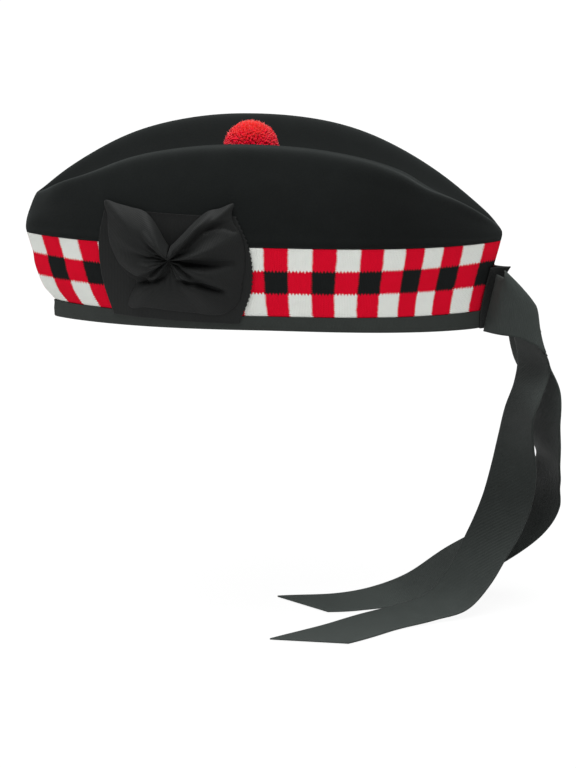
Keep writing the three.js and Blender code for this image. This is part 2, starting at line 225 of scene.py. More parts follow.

# Painted shade (above 0) and painted light (below 0) in the ribbon's colour at the rows of each tail.
NEAR_SHADES = (0, -0.1, -0.15, -0.35, -0.35, 0.45, 0.3, -0.25, 0.3, 0.18, 0.25, 0.35, 0.3, 0.15, 0.05,
               -0.15, -0.22, -0.28, -0.26, -0.15)
FAR_SHADES = (0, 0, 0, 0, 0, 0.2, 0.1, -0.35, 0, 0.1, 0.25, 0.42, 0.42, 0.4, 0.05, 0.15, 0, -0.45, -0.5,
              -0.5)


def smooth_curve(places, values, at):
    """A cubic between the rows of a table, whose slope at a row is the mean of the slopes beside it."""
    slopes = np.diff(values, axis=0) / np.diff(places)[:, None]
    tangents = np.vstack([slopes[:1], (slopes[1:] + slopes[:-1]) / 2, slopes[-1:]])
    row = np.clip(np.searchsorted(places, at, side="right") - 1, 0, len(places) - 2)
    span = (places[row + 1] - places[row])[..., None]
    p = (at - places[row])[..., None] / span
    start = (1 + 2 * p) * (1 - p) ** 2 * values[row] + p * (1 - p) ** 2 * span * tangents[row]
    end = p**2 * (3 - 2 * p) * values[row + 1] - p**2 * (1 - p) * span * tangents[row + 1]
    return start + end


def level_columns(at):
    """The columns of the level table at lengths up the wall."""
    return np.moveaxis(smooth_curve(LEVELS[:, 0], LEVELS[:, 1:], at), -1, 0)


def level_height(along, z_front, z_side, z_back, sag):
    """Height of a level: from the side at the crest to each end, by a power of the share along."""
    behind = along > CREST
    share = np.abs(along - CREST) / np.where(behind, 1 - CREST, 1 + CREST)
    return z_side + (np.where(behind, z_back, z_front) - z_side) * share**sag


def level_width(along, half, tip):
    """Half width of a level: a pointed oval, one less a power of the share along, to the power tip."""
    fullness = np.clip(1 - np.abs(along) ** PLAN_FULLNESS, 0, None)
    return half * fullness**tip


def wall(turn, at, offset=0.0):
    """The cap wall: turn is the angle from the back, at the length up it, offset the way outwards."""
    turn, at, offset = np.broadcast_arrays(turn, np.asarray(at, float), offset)
    front, back, half, tip, z_front, z_side, z_back, sag, lift = level_columns(at)
    along = np.cos(turn)
    spread = np.where(half > 1e-6, np.clip(half + offset * (1 - lift), 0, None), 0)
    x = (front + back) / 2 + along * ((back - front) / 2 + offset * TIP_SPREAD)
    y = np.sign(np.sin(turn)) * level_width(along, spread, tip)
    z = level_height(along, z_front, z_side, z_back, sag) + offset * lift
    return np.stack([x, y, z], -1)


def side_wall(x, z):
    """The near side wall at a place x, z: the length up the wall is halved until its height is z."""
    low = np.zeros_like(x)
    high = np.full_like(x, RIDGE)
    for _ in range(40):
        at = (low + high) / 2
        front, back, half, tip, z_front, z_side, z_back, sag, _lift = level_columns(at)
        along = (2 * x - front - back) / (back - front)
        below = level_height(along, z_front, z_side, z_back, sag) < z
        low = np.where(below, at, low)
        high = np.where(below, high, at)
    return np.stack([x, -level_width(along, half, tip), z], -1)


def above_side(x, z, height):
    """Points that stand off the near side wall by a height along the wall's normal."""
    step = 1.5
    across = side_wall(x + step, z) - side_wall(x - step, z)
    up = side_wall(x, z + step) - side_wall(x, z - step)
    normal = np.cross(across, up)
    normal /= np.linalg.norm(normal, axis=-1, keepdims=True)
    return side_wall(x, z) + normal * height[..., None]


def grid_piece(name, points, uv, around=False, looped=False, ids=None):
    """A mesh of quads between neighbouring points of a grid given in millimetres.

    around closes the columns, looped closes the rows, ids lets rows share points, and uv has one
    row and column more than the points where a direction is closed.
    """
    rows, columns = points.shape[:2]
    if ids is None:
        ids = np.arange(rows * columns).reshape(rows, columns)
    if around:
        ids = np.concatenate([ids, ids[:, :1]], 1)
    if looped:
        ids = np.concatenate([ids, ids[:1]], 0)
    faces = np.stack([ids[:-1, :-1], ids[:-1, 1:], ids[1:, 1:], ids[1:, :-1]], -1).reshape(-1, 4)
    corners = np.stack([uv[:-1, :-1], uv[:-1, 1:], uv[1:, 1:], uv[1:, :-1]], 2).reshape(-1, 2)
    used, faces = np.unique(faces, return_inverse=True)
    faces = faces.reshape(-1, 4)
    vertices = points.reshape(-1, 3)[used] * MM
    if around and signed_volume(vertices, faces) < 0:
        faces = faces[:, ::-1]
        corners = corners.reshape(-1, 4, 2)[:, ::-1].reshape(-1, 2)
    piece = mesh_piece(name, vertices, faces)
    layer = piece.data.uv_layers.new(name="cloth")
    layer.data.foreach_set("uv", corners.astype(np.float32).ravel())
    return piece


def signed_volume(vertices, faces):
    """Six times the volume inside quads, positive where they face out."""
    a, b, c, d = (vertices[faces[:, corner]] for corner in range(4))
    first = np.einsum("ij,ij->i", a, np.cross(b, c))
    second = np.einsum("ij,ij->i", a, np.cross(c, d))
    return float(np.sum(first + second))


def mesh_piece(name, vertices, faces):
    """A smooth mesh object at the origin."""
    mesh = bpy.data.meshes.new(name)
    mesh.from_pydata(vertices, [], faces)
    mesh.polygons.foreach_set("use_smooth", np.ones(len(mesh.polygons), bool))
    mesh.update()
    piece = bpy.data.objects.new(name, mesh)
    bpy.context.scene.collection.objects.link(piece)
    return piece


def dress(piece, node, finish):
    """Puts a finish on a piece that rides on the cap and stands for one of its nodes."""
    piece.data.materials.append(finish)
    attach(piece, BODY)
    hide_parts(node)


def mark(piece, name, values):
    """Writes a number on each point of a piece for its finish to read."""
    attribute = piece.data.attributes.new(name, "FLOAT", "POINT")
    attribute.data.foreach_set("value", values.astype(np.float32).ravel())


def thicken(piece, thickness):
    """Gives a single sheet its thickness, half to each side."""
    solid = piece.modifiers.new("thickness", "SOLIDIFY")
    solid.thickness = thickness * MM
    solid.offset = 0
    solid.use_even_offset = False


def finish_nodes(name):
    """A new finish: the material and its main shader."""
    material = bpy.data.materials.new(name)
    material.use_nodes = True
    return material, material.node_tree.nodes["Principled BSDF"]


def add_node(material, kind, inputs=(), **settings):
    """A node of a finish with its settings; inputs pairs a socket's name with a value or a socket."""
    tree = material.node_tree
    node = tree.nodes.new(kind)
    for key, value in settings.items():
        setattr(node, key, value)
    for socket, value in inputs:
        if isinstance(value, bpy.types.NodeSocket):
            tree.links.new(value, node.inputs[socket])
        else:
            node.inputs[socket].default_value = value
    return node


def reckon(material, operation, *values):
    """The outcome of one step of arithmetic on numbers or sockets."""
    return add_node(material, "ShaderNodeMath", enumerate(values), operation=operation).outputs[0]


def blend_colour(material, share, first, second):
    """A colour between two by a share from 0 to 1."""
    inputs = ((0, share), (6, first), (7, second))
    return add_node(material, "ShaderNodeMix", inputs, data_type="RGBA").outputs[2]


def shaded(material, colour, share):
    """A colour made darker by a share that may run below 0."""
    rest = reckon(material, "SUBTRACT", 1, share)
    inputs = ((0, colour), (3, rest))
    return add_node(material, "ShaderNodeVectorMath", inputs, operation="SCALE").outputs[0]


def ramp(material, value, start, end, first, last):
    """A smooth step from a first number at the start of a span to a last one at its end."""
    inputs = ((0, value), (1, start), (2, end), (3, first), (4, last))
    return add_node(material, "ShaderNodeMapRange", inputs, interpolation_type="SMOOTHSTEP").outputs[0]


def noise(material, where, scale, detail=4.0, roughness=0.6):
    """A cloudy pattern from 0 to 1."""
    inputs = (("Vector", where), ("Scale", scale), ("Detail", detail), ("Roughness", roughness))
    return add_node(material, "ShaderNodeTexNoise", inputs).outputs["Fac"]


def relief(material, shader, height, depth, strength=1.0):
    """Raises a finish's surface by a height pattern times a depth in metres."""
    inputs = (("Height", height), ("Distance", depth), ("Strength", strength))
    bump = add_node(material, "ShaderNodeBump", inputs)
    material.node_tree.links.new(bump.outputs[0], shader.inputs["Normal"])


def felt_finish():
    """Black felted wool: a cloudy charcoal with a short soft nap and a painted highlight along the
    ridges.

    The map's second number is the length up the wall: the painted highlight is a paler bell on the
    ridges, and painted shade darkens the felt from there into the crease and, on the outside, towards
    both tips.
    """
    material, shader = finish_nodes("black_felt")
    where = add_node(material, "ShaderNodeTexCoord").outputs["Object"]
    along = add_node(material, "ShaderNodeSeparateXYZ", ((0, where),)).outputs[0]
    unrolled = add_node(material, "ShaderNodeUVMap", uv_map="cloth").outputs[0]
    up = add_node(material, "ShaderNodeSeparateXYZ", ((0, unrolled),)).outputs[1]
    cloud = noise(material, where, 70, 5)
    nap = noise(material, where, 2600, 3)
    fleck = noise(material, where, 700, 4)
    tone = reckon(material, "MULTIPLY_ADD", nap, 0.5, reckon(material, "MULTIPLY", cloud, 0.6))
    plain = blend_colour(material, tone, (0.003, 0.0036, 0.0035, 1), (0.0075, 0.0086, 0.0084, 1))
    # Painted shade: the outside below the ridges darkens towards both tips.
    outside = ramp(material, up, 0.112, 0.12, 1, 0)
    tip_shade = 0.42
    crease_shade = 0.2
    for begin, end in ((0.03, 0.09), (-0.075, -0.135)):
        tip = ramp(material, along, begin, end, 0, tip_shade)
        plain = shaded(material, plain, reckon(material, "MULTIPLY", tip, outside))
    # Painted shade: darker from the ridges into the crease.
    plain = shaded(material, plain, ramp(material, up, 0.121, 0.131, 0, crease_shade))
    # Painted highlight: a paler bell along the ridges, uneven with the cloud.
    bell_width = 0.0041
    away = reckon(material, "DIVIDE", reckon(material, "SUBTRACT", up, RIDGE_HIGHLIGHT * MM), bell_width)
    square = reckon(material, "MULTIPLY", away, away)
    bell = reckon(material, "EXPONENT", reckon(material, "MULTIPLY", square, -1))
    painted_highlight = reckon(material, "MULTIPLY", bell, reckon(material, "MULTIPLY_ADD", cloud, 0.45, 0.42))
    colour = blend_colour(material, painted_highlight, plain, (0.0165, 0.0183, 0.0178, 1))
    material.node_tree.links.new(colour, shader.inputs["Base Color"])
    shader.inputs["Roughness"].default_value = 1.0
    shader.inputs["Specular IOR Level"].default_value = 0.07
    shader.inputs["Sheen Weight"].default_value = 0.06
    shader.inputs["Sheen Roughness"].default_value = 0.55
    shader.inputs["Sheen Tint"].default_value = (0.85, 0.95, 0.93, 1)
    height = reckon(material, "MULTIPLY_ADD", fleck, 0.6, nap)
    relief(material, shader, height, 0.0004, 0.5)
    return material


def knit_finish():
    """Fine knit with three rows of dice: red, or in turn white and, in the middle row, black.

    The map counts dice round the band and rows up it. Seven stitches make a die and twelve courses a row.
    Each stitch is a small V, so colours meet in teeth.
    """
    material, shader = finish_nodes("diced_knit")
    stitches = 7
    courses = 12
    tooth_height = 1.3
    where = add_node(material, "ShaderNodeUVMap", uv_map="cloth").outputs[0]
    body = add_node(material, "ShaderNodeTexCoord").outputs["Object"]
    parts = add_node(material, "ShaderNodeSeparateXYZ", ((0, where),)).outputs
    stitch = reckon(material, "MULTIPLY", parts[0], stitches)
    course = reckon(material, "MULTIPLY", parts[1], courses)
    uneven = reckon(material, "SUBTRACT", noise(material, body, 420, 2), 0.5)
    saw = reckon(material, "SUBTRACT", reckon(material, "FRACT", stitch), 0.5)
    arm = reckon(material, "MULTIPLY", reckon(material, "ABSOLUTE", saw), 2)
    lean = reckon(material, "MULTIPLY_ADD", arm, 1.2, course)
    tooth = reckon(material, "MULTIPLY_ADD", arm, tooth_height, course)
    centred = reckon(material, "SUBTRACT", tooth, tooth_height / 2)
    toothed = reckon(material, "MULTIPLY_ADD", uneven, 1.4, centred)
    row = reckon(material, "FLOOR", reckon(material, "DIVIDE", toothed, courses))
    wave = reckon(material, "SINE", reckon(material, "MULTIPLY", course, 2 * math.pi))
    sway = reckon(material, "MULTIPLY_ADD", uneven, 0.7, reckon(material, "MULTIPLY", wave, 0.25))
    swayed = reckon(material, "ADD", stitch, sway)
    die = reckon(material, "FLOOR", reckon(material, "DIVIDE", swayed, stitches))
    even_die = reckon(material, "SUBTRACT", 1, reckon(material, "FLOORED_MODULO", die, 2))
    middle = reckon(material, "COMPARE", row, 1, 0.4)
    red_share = reckon(material, "ABSOLUTE", reckon(material, "SUBTRACT", even_die, middle))
    cloud = noise(material, body, 160, 4)
    fibre = noise(material, body, 3200, 3)
    tone = reckon(material, "MULTIPLY_ADD", fibre, 0.6, reckon(material, "MULTIPLY", cloud, 0.4))
    red = blend_colour(material, tone, (0.57, 0.0018, 0.0145, 1), (0.77, 0.0046, 0.03, 1))
    white = blend_colour(material, tone, (0.67, 0.69, 0.645, 1), (0.86, 0.88, 0.84, 1))
    black = blend_colour(material, tone, (0.006, 0.007, 0.007, 1), (0.015, 0.017, 0.017, 1))
    plain = blend_colour(material, middle, white, black)
    colour = blend_colour(material, red_share, plain, red)
    material.node_tree.links.new(colour, shader.inputs["Base Color"])
    shader.inputs["Roughness"].default_value = 1.0
    shader.inputs["Specular IOR Level"].default_value = 0.06
    legs = reckon(material, "FRACT", reckon(material, "MULTIPLY", stitch, 2))
    leg = reckon(material, "SINE", reckon(material, "MULTIPLY", legs, math.pi))
    turn = reckon(material, "COSINE", reckon(material, "MULTIPLY", lean, 2 * math.pi))
    loop = reckon(material, "MULTIPLY_ADD", turn, 0.3, 0.7)
    height = reckon(material, "MULTIPLY_ADD", fibre, 0.35, reckon(material, "MULTIPLY", leg, loop))
    relief(material, shader, height, 0.0003, 0.8)
    return material


def ribbon_finish(name, dark, light, sheen):
    """Ribbed ribbon: fine cross ribs along its length, threads across them, and a soft sheen.

    A piece's shade attribute paints shade and light into its colour, darker or paler from place to place.
    """
    material, shader = finish_nodes(name)
    where = add_node(material, "ShaderNodeUVMap", uv_map="cloth").outputs[0]
    parts = add_node(material, "ShaderNodeSeparateXYZ", ((0, where),)).outputs
    rib_pitch = 0.0009
    thread_pitch = 0.00035
    rib = reckon(material, "SINE", reckon(material, "MULTIPLY", parts[0], 2 * math.pi / rib_pitch))
    thread = reckon(material, "SINE", reckon(material, "MULTIPLY", parts[1], 2 * math.pi / thread_pitch))
    body = add_node(material, "ShaderNodeTexCoord").outputs["Object"]
    cloud = noise(material, body, 90, 4)
    slub = noise(material, body, 1500, 3)
    weave = reckon(material, "MULTIPLY_ADD", thread, 0.25, rib)
    patch = reckon(material, "MULTIPLY_ADD", cloud, 0.5, reckon(material, "MULTIPLY", slub, 0.5))
    tone = reckon(material, "MULTIPLY_ADD", rib, 0.06, patch)
    # Painted shade and light: the piece's shade attribute darkens or lightens the colour.
    shade = add_node(material, "ShaderNodeAttribute", attribute_name="shade").outputs["Fac"]
    colour = shaded(material, blend_colour(material, tone, dark, light), shade)
    material.node_tree.links.new(colour, shader.inputs["Base Color"])
    roughness = reckon(material, "MULTIPLY_ADD", slub, 0.2, 0.55)
    material.node_tree.links.new(roughness, shader.inputs["Roughness"])
    shader.inputs["Specular IOR Level"].default_value = 0.16
    shader.inputs["Sheen Weight"].default_value = sheen
    shader.inputs["Sheen Roughness"].default_value = 0.4
    height = reckon(material, "MULTIPLY_ADD", slub, 0.5, weave)
    relief(material, shader, height, 0.00012, 0.5)
    return material


def yarn_finish():
    """Cut red wool, deeper towards the roots, with paler loose hairs; painted light makes it orange red
    above and crimson below.
    """
    material, shader = finish_nodes("red_yarn")
    tone = add_node(material, "ShaderNodeAttribute", attribute_name="tone").outputs["Fac"]
    reach = add_node(material, "ShaderNodeAttribute", attribute_name="reach").outputs["Fac"]
    pale = add_node(material, "ShaderNodeAttribute", attribute_name="pale").outputs["Fac"]
    # Painted light: the tone runs from crimson on strands below to orange red on strands above.
    deep = blend_colour(material, tone, (0.6, 0.0006, 0.026, 1), (0.56, 0.012, 0.013, 1))
    bright = blend_colour(material, tone, (0.66, 0.0008, 0.03, 1), (0.51, 0.017, 0.0105, 1))
    yarn = blend_colour(material, reach, deep, bright)
    colour = blend_colour(material, pale, yarn, (0.66, 0.16, 0.15, 1))
    material.node_tree.links.new(colour, shader.inputs["Base Color"])
    shader.inputs["Roughness"].default_value = 1.0
    shader.inputs["Specular IOR Level"].default_value = 0.05
    shader.inputs["Sheen Weight"].default_value = 0.05
    shader.inputs["Sheen Tint"].default_value = (1.0, 0.6, 0.6, 1)
    body = add_node(material, "ShaderNodeTexCoord").outputs["Object"]
    relief(material, shader, noise(material, body, 4000, 2), 0.0002, 0.6)
    return material


def crown(finish):
    """The felt crown: the wall from the band over the ridges to the crease, inside and out.

    Each dent is a bell of its depth over the turn and the length up the wall. Shallow waves run all
    round, and both fade out towards the crease, whose line the two sides share. The foot swells over the
    band.
    """
    columns = 480
    inner_rows = 24
    outer_rows = 96
    wave_depth = 0.25
    turns = np.linspace(0, 2 * np.pi, columns, endpoint=False)
    foot = BAND_TOP + GAP
    inner = np.linspace(VALLEY, foot, inner_rows)
    outer = np.linspace(foot, VALLEY, outer_rows)
    at = np.concatenate([inner, outer])[:, None]
    base = np.concatenate([np.full(inner_rows, -FELT), np.zeros(outer_rows)])[:, None]
    share = np.clip((at - foot) / (VALLEY - foot), 0, 1)
    fade = np.sin(np.pi * share) ** 1.5
    waves = np.sin(3 * turns + 4 * share) + 0.7 * np.sin(7 * turns - 5 * share + 1)
    waves = waves + 0.4 * np.sin(13 * turns + 9 * share)
    start = np.sin(np.pi / 2 * np.clip((at - foot) / 2, 0, 1))
    swell = 0.8 * np.exp(-(((at - foot - 3) / 4) ** 2)) * start
    swell = swell * np.clip(np.abs(np.sin(turns)) * 2.5 - 0.3, 0, 1)
    shape = wave_depth * fade * waves + swell
    for turn, height, depth, turn_spread, height_spread in FELT_DENTS:
        apart = np.angle(np.exp(1j * (turns - np.radians(turn))))
        bell = np.exp(-((apart / np.radians(turn_spread)) ** 2) - ((at - height) / height_spread) ** 2)
        shape = shape + depth * bell * np.clip((1 - share) * 8, 0, 1)
    points = wall(turns[None, :], at, base + shape)
    ids = np.arange(points.shape[0] * points.shape[1]).reshape(points.shape[:2])
    column = np.arange(columns)
    shared = np.minimum(column, (columns - column) % columns)
    ids[0] = ids[0][shared]
    ids[-1] = ids[-1][shared]
    around = np.linspace(0, 0.7, columns + 1)
    uv = np.stack(np.broadcast_arrays(around[None, :], at * MM), -1)
    piece = grid_piece("crown_felt", points, uv, around=True, ids=ids)
    dress(piece, "crown", finish)


def front_stray(turn, at):
    """The stray of the table at lengths up the wall, times the eighth power of the share forwards."""
    stray = smooth_curve(FRONT_STRAY[:, 0], FRONT_STRAY[:, 1:], at)[..., 0]
    return stray * ((1 - np.cos(turn)) / 2) ** 8


def ring_strip(name, profile, turns, lengthwise, foot, unit):
    """A strip round the cap: a closed profile of (length up the wall, offset) carried round its turns.

    The map's first number is the way lengthwise and its second the length up from the foot in units.
    """
    at, offset = np.asarray(profile, float).T
    points = wall(turns[None, :], at[:, None], offset[:, None])
    points[..., 0] += front_stray(turns[None, :], at[:, None])
    rise = (np.concatenate([at, at[:1]]) - foot) / unit
    uv = np.stack(np.broadcast_arrays(lengthwise[None, :], rise[:, None]), -1)
    piece = grid_piece(name, points, uv, around=True, looped=True)
    piece.data.set_sharp_from_angle(angle=math.radians(55))
    return piece


def even_turns(count, at):
    """Turns at equal steps of length round the wall at one height, from the back by the far side."""
    fine = np.linspace(0, 2 * np.pi, 4001)
    step = np.linalg.norm(np.diff(wall(fine, at), axis=0), axis=1)
    run = np.concatenate([[0], np.cumsum(step)])
    places = np.linspace(0, run[-1], count, endpoint=False)
    return np.interp(places, run, fine), run[-1]


def diced_band(finish):
    """The knit band: the wall between the binding and the crown, with a thin foot inside the binding.

    The knit is stretched towards the back seam on the near side: the count of dice lags there by a
    squared half sine.
    """
    dice = 44
    dice_rows = 3
    columns_per_die = 20
    lag = 0.29
    lag_dice = 5.9
    turns, _length = even_turns(dice * columns_per_die, (BAND_FOOT + BAND_TOP) / 2)
    face = [(at, 0.0) for at in np.linspace(BAND_FOOT, BAND_TOP, 31)]
    back = [(at, -KNIT) for at in np.linspace(BAND_TOP, BAND_FOOT, 7)]
    foot = [(BAND_FOOT, -1.9), (1.7, -1.9), (1.7, -0.6), (BAND_FOOT, -0.6)]
    count = np.linspace(dice, 0, len(turns) + 1)
    near_seam = np.clip(count / lag_dice, 0, 1)
    count = count - lag * np.sin(np.pi * near_seam) ** 2
    row_height = (BAND_TOP - BAND_FOOT) / dice_rows
    piece = ring_strip("diced_knit_band", face + back + foot, turns, count, BAND_FOOT, row_height)
    dress(piece, "diced_band", finish)


def edge_binding(finish):
    """The binding: a ribbon folded round the foot of the band, a U in section with a round lower edge."""
    ply = 0.9
    top = BAND_FOOT - GAP
    back = -KNIT - BINDING_FACE
    turns, length = even_turns(720, BAND_FOOT / 2)
    bend = np.linspace(0, np.pi, 9)
    middle = (BINDING_FACE + back) / 2
    reach = (BINDING_FACE - back) / 2
    curl = [(1.0 - np.sin(a), middle + reach * np.cos(a)) for a in bend]
    face = [(at, BINDING_FACE) for at in np.linspace(top, 2.0, 6)]
    rear = [(at, back) for at in np.linspace(2.0, top, 6)]
    inside = [(top, back + ply), (1.3, back + ply), (1.3, BINDING_FACE - ply), (top, BINDING_FACE - ply)]
    lengthwise = np.linspace(0, length * MM, len(turns) + 1)
    piece = ring_strip("binding_ribbon", face + curl + rear + inside, turns, lengthwise, 0, 1 / MM)
    dress(piece, "edge_binding", finish)


def cockade_base(finish):
    """The square of ribbon under the bow, lying on the near side wall between its two curved edges.

    It stands off the wall to clear the binding and sinks towards the felt at its upper edge. Its right
    edge is cut and a little ragged: two waves up the edge that fade within a few threads. Painted shade
    darkens the ribbon towards the top and the left, most of all along the upper rim; painted light makes
    it paler towards the lower edge.
    """
    u = np.linspace(0, 1, 120)[:, None]
    v = np.linspace(0, 1, 160)[None, :]
    z = COCKADE_EDGES[0, 0] + (COCKADE_EDGES[-1, 0] - COCKADE_EDGES[0, 0]) * v
    left, right = np.moveaxis(smooth_curve(COCKADE_EDGES[:, 0], COCKADE_EDGES[:, 1:], z), -1, 0)
    ragged = 0.35 * np.sin(2.3 * z) + 0.25 * np.sin(5.1 * z + 1)
    x = left + (right - left) * u + ragged * np.clip(u * 40 - 39, 0, 1)
    z = np.broadcast_to(z, x.shape)
    height = RIBBON_STAND - 1.05 * v**7 + 0 * x
    points = above_side(x, z, height)
    piece = grid_piece("cockade_backing", points, np.stack([x, z], -1) * MM)
    # Painted shade towards the top, the left and the upper rim; painted light towards the lower edge.
    mark(piece, "shade", 0.42 * v**2 * (1 - u**3) + 0.5 * v**40 - 0.25 * (1 - v) ** 3)
    thicken(piece, 0.25)
    dress(piece, "cockade_base", finish)


def crease_rise(x, z, crease):
    """A crease's rise at places on the bow: a bell of the distance from its line, less at its ends."""
    rise, width, line = crease
    corners = np.array(line, float)
    spans = len(corners) - 1
    nearest = np.full(x.shape, np.inf)
    place = np.zeros(x.shape)
    for span in range(spans):
        start = corners[span]
        step = corners[span + 1] - start
        along = np.clip(((x - start[0]) * step[0] + (z - start[1]) * step[1]) / (step @ step), 0, 1)
        apart = np.hypot(x - start[0] - along * step[0], z - start[1] - along * step[1])
        place = np.where(apart < nearest, (span + along) / spans, place)
        nearest = np.minimum(apart, nearest)
    return rise * (1 - np.abs(2 * place - 1) ** 4) * np.exp(-((nearest / width) ** 2))


def cockade_bow(finish):
    """The pleated bow: folds fan out of the pinch, each a reach and a rise at its angle.

    Its height is a puff plus the fold's rise, both half sines of the share outwards. The deepest valley
    and the highest ridge of the creases near a place are added, and small gathers near the pinch. The
    outer edge bends down to the ribbon under it. Painted shade makes the valleys darker.
    """
    gathers = 23
    angle = np.linspace(BOW_FOLDS[0, 0], BOW_FOLDS[-1, 0], 480)[:, None]
    v = np.linspace(0, 1, 72)[None, :]
    reach, rise = np.moveaxis(smooth_curve(-BOW_FOLDS[:, 0], BOW_FOLDS[:, 1:], -angle), -1, 0)
    radius = reach * v
    x = radius * np.cos(np.radians(angle))
    z = radius * np.sin(np.radians(angle))
    puff = BOW_PUFF * np.sin(np.pi * v**0.8)
    pleat = rise * np.sin(np.pi * v**0.6)
    gather = 0.45 * np.sin(np.radians(angle) * gathers) * np.exp(-(((v - 0.25) / 0.2) ** 2))
    creases = np.array([crease_rise(x, z, crease) for crease in BOW_CREASES])
    sharp = np.minimum(creases.min(0), 0) + np.maximum(creases.max(0), 0)
    height = BOW_SEAT - 0.8 * v**8 + np.clip(puff + pleat + gather + sharp, 0, None)
    points = above_side(BOW_PINCH[0] + x, BOW_PINCH[1] + z, height)
    uv = np.stack(np.broadcast_arrays(radius * MM, np.radians(angle) * 0.03), -1)
    piece = grid_piece("cockade_bow_ribbon", points, uv)
    # Painted shade: darker in the valleys of the creases.
    mark(piece, "shade", np.clip(-creases.min(0) / 5, 0, 1) * 0.4)
    thicken(piece, 0.5)
    dress(piece, "cockade_bow", finish)


def back_tie(finish):
    """The ribbon looped over the back seam: a strip of the wall that stands off it, most at the top.

    Painted light makes the ribbon paler towards its foot.
    """
    half_turn = 0.235
    foot = 0.2
    top = 35
    u = np.linspace(0, 1, 60)[:, None]
    v = np.linspace(0, 1, 40)[None, :]
    at = foot + (top - foot) * v
    loop = (3 + 3.5 * v**3) * (1 - np.abs(2 * u - 1)) ** 2
    points = wall(half_turn * (2 * u - 1), at, RIBBON_STAND + loop)
    uv = np.stack(np.broadcast_arrays(at * MM, u * 0.03), -1)
    piece = grid_piece("back_tie_ribbon", points, uv)
    # Painted light: the ribbon is paler towards its foot.
    mark(piece, "shade", -0.9 * (1 - v) + 0 * u)
    thicken(piece, RIBBON)
    dress(piece, "back_tie", finish)


def tail(name, node, rows, shades, finish):
    """A ribbon tail of even width: along the middle line of its rows, out to both edges in its face.

    Across a fold the width runs slantwise along the edge direction, and the belly bulges the upper half
    back. The painted shade and light run straight from row to row.
    """
    steps_per_row = 12
    steps = np.linalg.norm(np.diff(rows[:, :3], axis=0), axis=1)
    places = np.concatenate([[0], np.cumsum(steps)])
    spread = np.linspace(0, len(rows) - 1, (len(rows) - 1) * steps_per_row + 1)
    place = np.interp(spread, np.arange(len(rows)), places)
    row = smooth_curve(places, rows, place)
    ahead = smooth_curve(places, rows[:, :3], np.minimum(place + 1, places[-1]))
    behind = smooth_curve(places, rows[:, :3], np.maximum(place - 1, 0))
    onward = ahead - behind
    onward /= np.linalg.norm(onward, axis=1, keepdims=True)
    edge = row[:, 3:6] / np.linalg.norm(row[:, 3:6], axis=1, keepdims=True)
    square = edge - onward * np.sum(edge * onward, axis=1, keepdims=True)
    across = np.maximum(np.linalg.norm(square, axis=1), FOLD_SLANT)
    v = np.linspace(0, 1, 25)
    sideways = (v - 0.5)[None, :] * TAIL_WIDTH / across[:, None]
    points = row[:, None, :3] + edge[:, None] * sideways[..., None]
    points[..., 0] += row[:, 6:7] * (1 - np.abs(2 * v**1.45 - 1) ** 1.4)
    uv = np.stack(np.broadcast_arrays(place[:, None] * MM, v[None, :] * TAIL_WIDTH * MM), -1)
    piece = grid_piece(name, points, uv)
    # Painted shade and light along the tail, from the shade tables.
    mark(piece, "shade", np.repeat(np.interp(place, places, shades), len(v)))
    thicken(piece, RIBBON)
    dress(piece, node, finish)


def even_directions(count):
    """Directions spread evenly over a ball by the golden turn."""
    index = np.arange(count) + 0.5
    height = 1 - 2 * index / count
    turn = index * np.pi * (3 - math.sqrt(5))
    ring = np.sqrt(1 - height**2)
    return np.stack([ring * np.cos(turn), ring * np.sin(turn), height], -1)


def strands(directions, inner, outer, thickness, lean, rings):
    """Four-sided strands from an inner radius out to their own outer radius, leaning more as they go."""
    share = np.linspace(0, 1, rings)
    radius = inner + (outer[:, None] - inner) * share
    line = directions[:, None] * radius[..., None] + lean[:, None] * (share**2)[None, :, None]
    helper = np.where(np.abs(directions[:, 2:]) < 0.8, [[0.0, 0.0, 1.0]], [[1.0, 0.0, 0.0]])
    first = np.cross(directions, helper)
    first /= np.linalg.norm(first, axis=1, keepdims=True)
    second = np.cross(directions, first)
    turn = np.arange(4) * np.pi / 2
    ring = first[:, None] * np.cos(turn)[None, :, None] + second[:, None] * np.sin(turn)[None, :, None]
    width = thickness[:, None] * (0.8 + 0.3 * share)
    points = line[:, :, None] + ring[:, None] * width[..., None, None]
    count = len(directions)
    ids = np.arange(count * rings * 4).reshape(count, rings, 4)
    after = np.roll(ids, -1, 2)
    sides = np.stack([ids[:, :-1], after[:, :-1], after[:, 1:], ids[:, 1:]], -1).reshape(-1, 4)
    faces = np.concatenate([sides, ids[:, 0, ::-1], ids[:, -1]])
    reach = np.broadcast_to(share[None, :, None], ids.shape).ravel()
    return points.reshape(-1, 3), faces, reach


